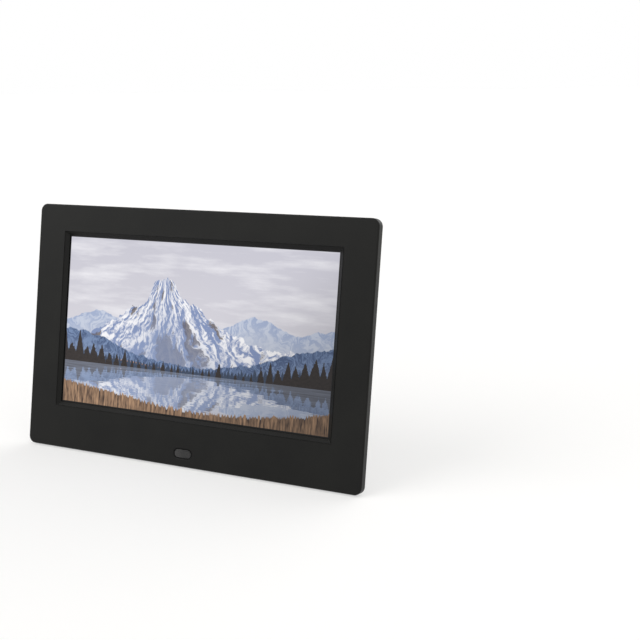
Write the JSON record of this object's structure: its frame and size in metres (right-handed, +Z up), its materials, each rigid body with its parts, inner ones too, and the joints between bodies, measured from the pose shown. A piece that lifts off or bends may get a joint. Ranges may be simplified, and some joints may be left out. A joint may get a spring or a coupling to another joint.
{
  "type": "digital photo frame",
  "caption": "Slim digital photo frame with a wide screen in a flat dark bezel, raised back panel with keyholes, threaded inserts and speaker slots, leaning on a screw-in rod leg.",
  "frame": {"origin": "bottom centre of the whole object as it stands on its lower edge and its leg", "axes": "+X to the right as the viewer sees the screen, +Y from the screen to the back, +Z up"},
  "size_m": [0.193, 0.1097, 0.1251],
  "materials": {
    "bezel_plastic": "fine texture",
    "ir_filter": "polished",
    "foam": "foam",
    "display_glass": "clear over a bright picture",
    "diffuser": "white",
    "tray_steel": "bright zinc",
    "film_amber": "flexible film",
    "ribbon_grey": "flexible",
    "board_green": "solder mask",
    "socket_cream": "moulded",
    "chip_black": "moulded",
    "can_aluminium": "sleeved",
    "ferrite": "sintered",
    "screw_steel": "zinc plated",
    "shell_steel": "tin plated",
    "contact_gold": "gold plated",
    "socket_black": "moulded",
    "switch_black": "moulded",
    "knob_grey": "moulded",
    "button_black": "moulded",
    "speaker_body": "pressed",
    "speaker_paper": "pressed cone",
    "magnet_plated": "nickel plated",
    "wire_red": "insulation",
    "cover_plastic": "soft gloss",
    "insert_brass": "turned",
    "label_film": "gloss film",
    "leg_plastic": "satin",
    "tip_rubber": "moulded"
  },
  "bodies": {
    "case": {"front_bezel": "bezel_plastic", "remote_window": "ir_filter", "remote_receiver": "chip_black", "remote_board": "board_green", "remote_ribbon": "ribbon_grey", "screen_gasket": "foam", "screen_glass": "display_glass", "screen_backlight": "diffuser", "screen_tray": "tray_steel", "screen_ribbon": "film_amber", "ribbon_socket": "socket_cream", "main_board": "board_green", "main_chips": "chip_black", "board_capacitors": "can_aluminium", "board_coil": "ferrite", "board_screws": "screw_steel", "usb_shell": "shell_steel", "usb_tongue": "socket_black", "usb_contacts": "contact_gold", "power_jack": "socket_black", "jack_pin": "contact_gold", "switch_body": "switch_black", "button_switch": "shell_steel", "speaker_frame": "speaker_body", "speaker_cone": "speaker_paper", "speaker_magnet": "magnet_plated", "speaker_wires": "wire_red", "speaker_plug": "socket_cream", "rear_cover": "cover_plastic", "mount_inserts": "insert_brass", "leg_bush": "insert_brass", "rating_label": "label_film"},
    "switch": {"switch_knob": "knob_grey"},
    "button": {"power_button": "button_black"},
    "leg": {"stand_leg": "leg_plastic", "leg_stud": "screw_steel", "leg_tip": "tip_rubber"}
  },
  "joints": [
    {"name": "leg_lift_off", "type": "slide", "parent": "case", "child": "leg", "axis": [0, 0.9782, -0.2075], "range_m": [0, 0.03]},
    {"name": "switch_slide", "type": "slide", "parent": "case", "child": "switch", "axis": [-1, 0, 0], "range_m": [0, 0.0035]},
    {"name": "button_press", "type": "slide", "parent": "case", "child": "button", "axis": [0, -0.9782, 0.2075], "range_m": [0, 0.0005], "stiffness_N_per_m": 1200, "springref_m": -0.0003}
  ]
}
